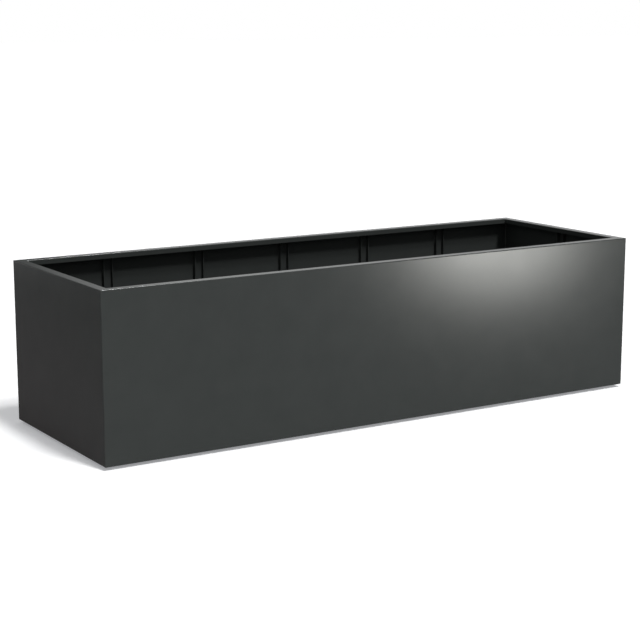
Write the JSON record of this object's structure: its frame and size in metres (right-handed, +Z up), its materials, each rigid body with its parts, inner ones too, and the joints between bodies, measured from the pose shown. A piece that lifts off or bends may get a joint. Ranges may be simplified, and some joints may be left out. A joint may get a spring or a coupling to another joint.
{
  "type": "rectangular planter",
  "caption": "Long open-topped planter of folded, powder-coated aluminium sheet with a turned-in rim, channel-stiffened walls, a drained base and screw feet, for planting on a terrace.",
  "frame": {"origin": "on the floor under the middle of the planter", "axes": "+X along the planter's length, -Y towards the front of the picture, +Z up"},
  "size_m": [3, 1, 0.8],
  "materials": {
    "powder_coat": "satin",
    "rivet_aluminium": "satin",
    "zinc_steel": "satin",
    "stainless_steel": "satin",
    "nylon": "matte"
  },
  "bodies": {
    "planter": {"front_panel": "powder_coat", "rear_panel": "powder_coat", "left_end_panel": "powder_coat", "right_end_panel": "powder_coat", "front_stiffener_1": "powder_coat", "front_stiffener_2": "powder_coat", "front_stiffener_3": "powder_coat", "front_stiffener_4": "powder_coat", "front_stiffener_5": "powder_coat", "rear_stiffener_1": "powder_coat", "rear_stiffener_2": "powder_coat", "rear_stiffener_3": "powder_coat", "rear_stiffener_4": "powder_coat", "rear_stiffener_5": "powder_coat", "left_end_stiffener": "powder_coat", "right_end_stiffener": "powder_coat", "stiffener_welds": "powder_coat", "corner_welds": "powder_coat", "base_plate": "powder_coat", "bearer_1": "powder_coat", "bearer_2": "powder_coat", "bearer_3": "powder_coat", "bearer_4": "powder_coat", "bearer_5": "powder_coat", "bearer_6": "powder_coat", "bearer_7": "powder_coat", "base_rivets": "rivet_aluminium", "bearer_rivets": "rivet_aluminium", "threaded_inserts": "zinc_steel"},
    "pad_1": {"foot_pad_1": "nylon"},
    "stud_1": {"foot_stud_1": "stainless_steel"},
    "pad_2": {"foot_pad_2": "nylon"},
    "stud_2": {"foot_stud_2": "stainless_steel"},
    "pad_3": {"foot_pad_3": "nylon"},
    "stud_3": {"foot_stud_3": "stainless_steel"},
    "pad_4": {"foot_pad_4": "nylon"},
    "stud_4": {"foot_stud_4": "stainless_steel"},
    "pad_5": {"foot_pad_5": "nylon"},
    "stud_5": {"foot_stud_5": "stainless_steel"},
    "pad_6": {"foot_pad_6": "nylon"},
    "stud_6": {"foot_stud_6": "stainless_steel"},
    "pad_7": {"foot_pad_7": "nylon"},
    "stud_7": {"foot_stud_7": "stainless_steel"},
    "pad_8": {"foot_pad_8": "nylon"},
    "stud_8": {"foot_stud_8": "stainless_steel"}
  },
  "joints": [
    {"name": "foot_lift_1", "type": "slide", "parent": "planter", "child": "pad_1", "axis": [0, 0, -1], "range_m": [0, 0.014]},
    {"name": "foot_turn_1", "type": "hinge", "parent": "pad_1", "child": "stud_1", "pos_m": [-1.44, -0.38, 0], "axis": [0, 0, -1], "range_deg": [0, 2880]},
    {"name": "foot_lift_2", "type": "slide", "parent": "planter", "child": "pad_2", "axis": [0, 0, -1], "range_m": [0, 0.014]},
    {"name": "foot_turn_2", "type": "hinge", "parent": "pad_2", "child": "stud_2", "pos_m": [-1.44, 0.38, 0], "axis": [0, 0, -1], "range_deg": [0, 2880]},
    {"name": "foot_lift_3", "type": "slide", "parent": "planter", "child": "pad_3", "axis": [0, 0, -1], "range_m": [0, 0.014]},
    {"name": "foot_turn_3", "type": "hinge", "parent": "pad_3", "child": "stud_3", "pos_m": [-0.50733, -0.38, 0], "axis": [0, 0, -1], "range_deg": [0, 2880]},
    {"name": "foot_lift_4", "type": "slide", "parent": "planter", "child": "pad_4", "axis": [0, 0, -1], "range_m": [0, 0.014]},
    {"name": "foot_turn_4", "type": "hinge", "parent": "pad_4", "child": "stud_4", "pos_m": [-0.50733, 0.38, 0], "axis": [0, 0, -1], "range_deg": [0, 2880]},
    {"name": "foot_lift_5", "type": "slide", "parent": "planter", "child": "pad_5", "axis": [0, 0, -1], "range_m": [0, 0.014]},
    {"name": "foot_turn_5", "type": "hinge", "parent": "pad_5", "child": "stud_5", "pos_m": [0.50733, -0.38, 0], "axis": [0, 0, -1], "range_deg": [0, 2880]},
    {"name": "foot_lift_6", "type": "slide", "parent": "planter", "child": "pad_6", "axis": [0, 0, -1], "range_m": [0, 0.014]},
    {"name": "foot_turn_6", "type": "hinge", "parent": "pad_6", "child": "stud_6", "pos_m": [0.50733, 0.38, 0], "axis": [0, 0, -1], "range_deg": [0, 2880]},
    {"name": "foot_lift_7", "type": "slide", "parent": "planter", "child": "pad_7", "axis": [0, 0, -1], "range_m": [0, 0.014]},
    {"name": "foot_turn_7", "type": "hinge", "parent": "pad_7", "child": "stud_7", "pos_m": [1.44, -0.38, 0], "axis": [0, 0, -1], "range_deg": [0, 2880]},
    {"name": "foot_lift_8", "type": "slide", "parent": "planter", "child": "pad_8", "axis": [0, 0, -1], "range_m": [0, 0.014]},
    {"name": "foot_turn_8", "type": "hinge", "parent": "pad_8", "child": "stud_8", "pos_m": [1.44, 0.38, 0], "axis": [0, 0, -1], "range_deg": [0, 2880]}
  ],
  "couplings": [
    {"joint": "foot_turn_1", "follows": "foot_lift_1", "rad_per_m": 3590.4},
    {"joint": "foot_turn_2", "follows": "foot_lift_2", "rad_per_m": 3590.4},
    {"joint": "foot_turn_3", "follows": "foot_lift_3", "rad_per_m": 3590.4},
    {"joint": "foot_turn_4", "follows": "foot_lift_4", "rad_per_m": 3590.4},
    {"joint": "foot_turn_5", "follows": "foot_lift_5", "rad_per_m": 3590.4},
    {"joint": "foot_turn_6", "follows": "foot_lift_6", "rad_per_m": 3590.4},
    {"joint": "foot_turn_7", "follows": "foot_lift_7", "rad_per_m": 3590.4},
    {"joint": "foot_turn_8", "follows": "foot_lift_8", "rad_per_m": 3590.4}
  ]
}
